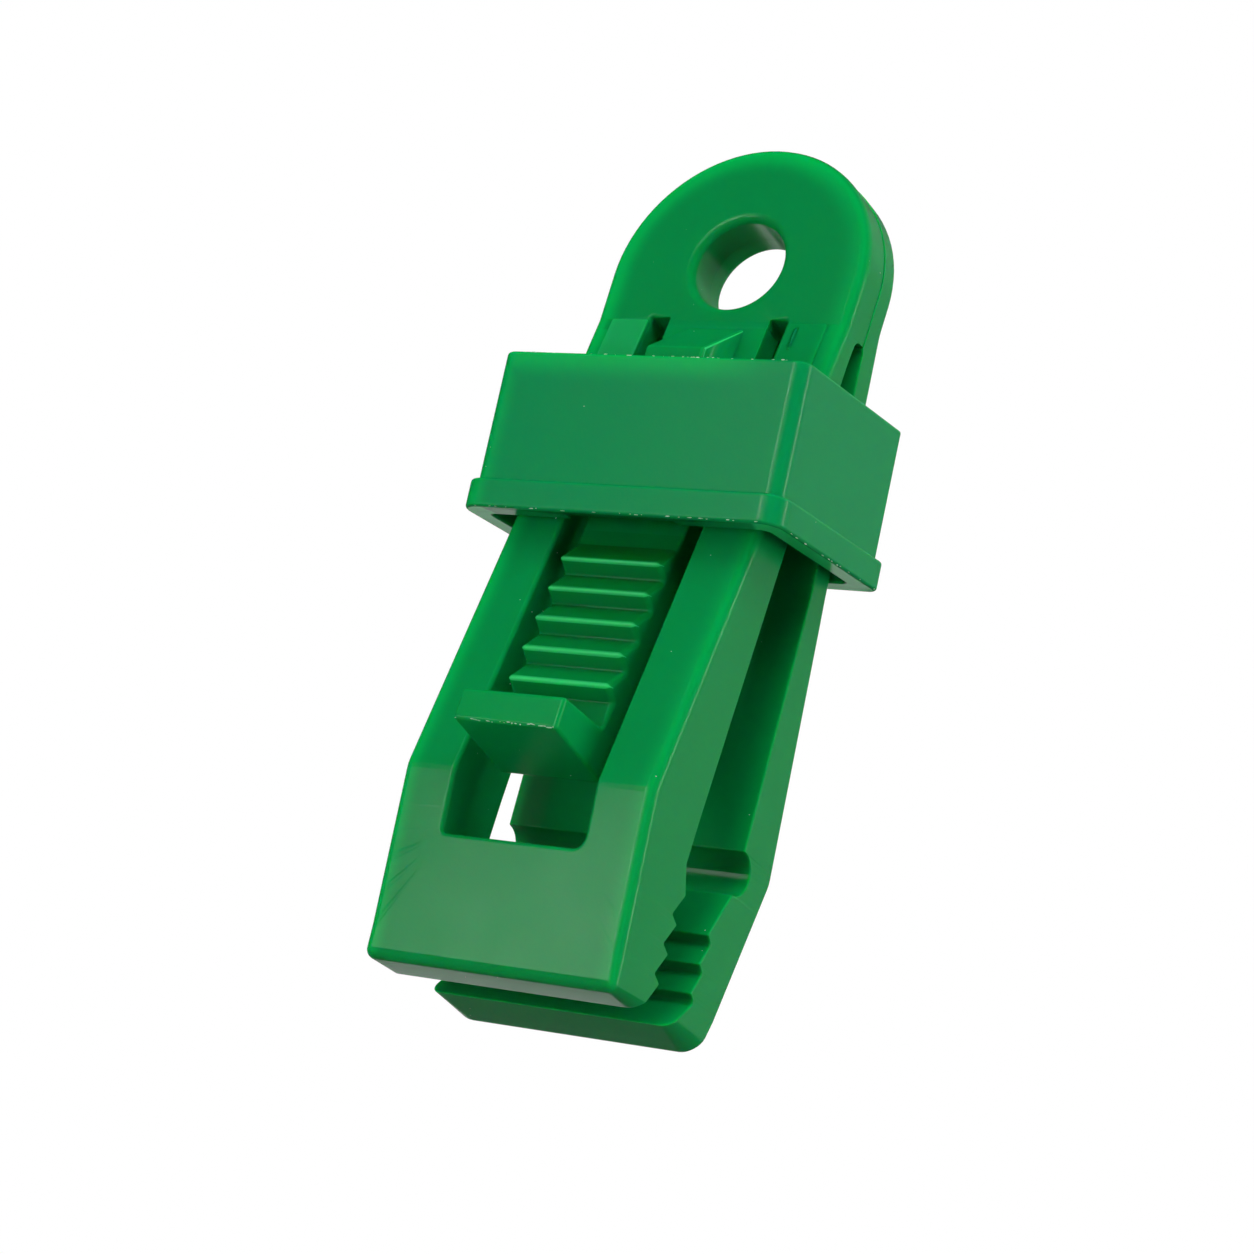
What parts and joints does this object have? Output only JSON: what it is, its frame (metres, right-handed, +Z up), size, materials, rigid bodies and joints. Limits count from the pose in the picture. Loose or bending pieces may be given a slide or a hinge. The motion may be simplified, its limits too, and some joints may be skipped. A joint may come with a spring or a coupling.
{
  "type": "tarp clip",
  "caption": "Green plastic tarp clip: sprung arms with toothed jaws, a hanging eye, and a collar that slides down the arms to squeeze them shut on a ratchet tongue.",
  "frame": {"origin": "centre of the hanging eye's hole, half way through its thickness", "axes": "+Z up through the eye and along the clip, +Y to the back, along the hole, +X across the jaws; the ratchet tongue faces -Y"},
  "size_m": [0.036, 0.0297, 0.0917],
  "materials": {
    "body_plastic": "green moulded polypropylene, satin gloss",
    "collar_plastic": "green moulded polypropylene, satin gloss, trimmed edges"
  },
  "bodies": {
    "eye": {"eye_lug": "body_plastic"},
    "front_lever": {"front_arm": "body_plastic"},
    "rear_lever": {"rear_arm": "body_plastic"},
    "tongue": {"release_tongue": "body_plastic"},
    "collar": {"slide_collar": "collar_plastic"}
  },
  "joints": [
    {"name": "front_flex", "type": "hinge", "parent": "eye", "child": "front_lever", "pos_m": [0, 0.00015, -0.0067], "axis": [1, 0, 0], "range_deg": [0, 2]},
    {"name": "rear_flex", "type": "hinge", "parent": "eye", "child": "rear_lever", "pos_m": [0, 0.00215, -0.0067], "axis": [-1, 0, 0], "range_deg": [0, 2]},
    {"name": "tongue_press", "type": "hinge", "parent": "front_lever", "child": "tongue", "pos_m": [0, 0.00015, -0.0067], "axis": [1, 0, 0], "range_deg": [0, 5], "stiffness_Nm_per_rad": 1},
    {"name": "collar_slide", "type": "slide", "parent": "rear_lever", "child": "collar", "axis": [0, 0.1495, -0.9888], "range_m": [0, 0.012]}
  ],
  "couplings": [
    {"joint": "front_flex", "follows": "collar_slide", "rad_per_m": 2.8798},
    {"joint": "rear_flex", "follows": "collar_slide", "rad_per_m": 2.8798}
  ]
}
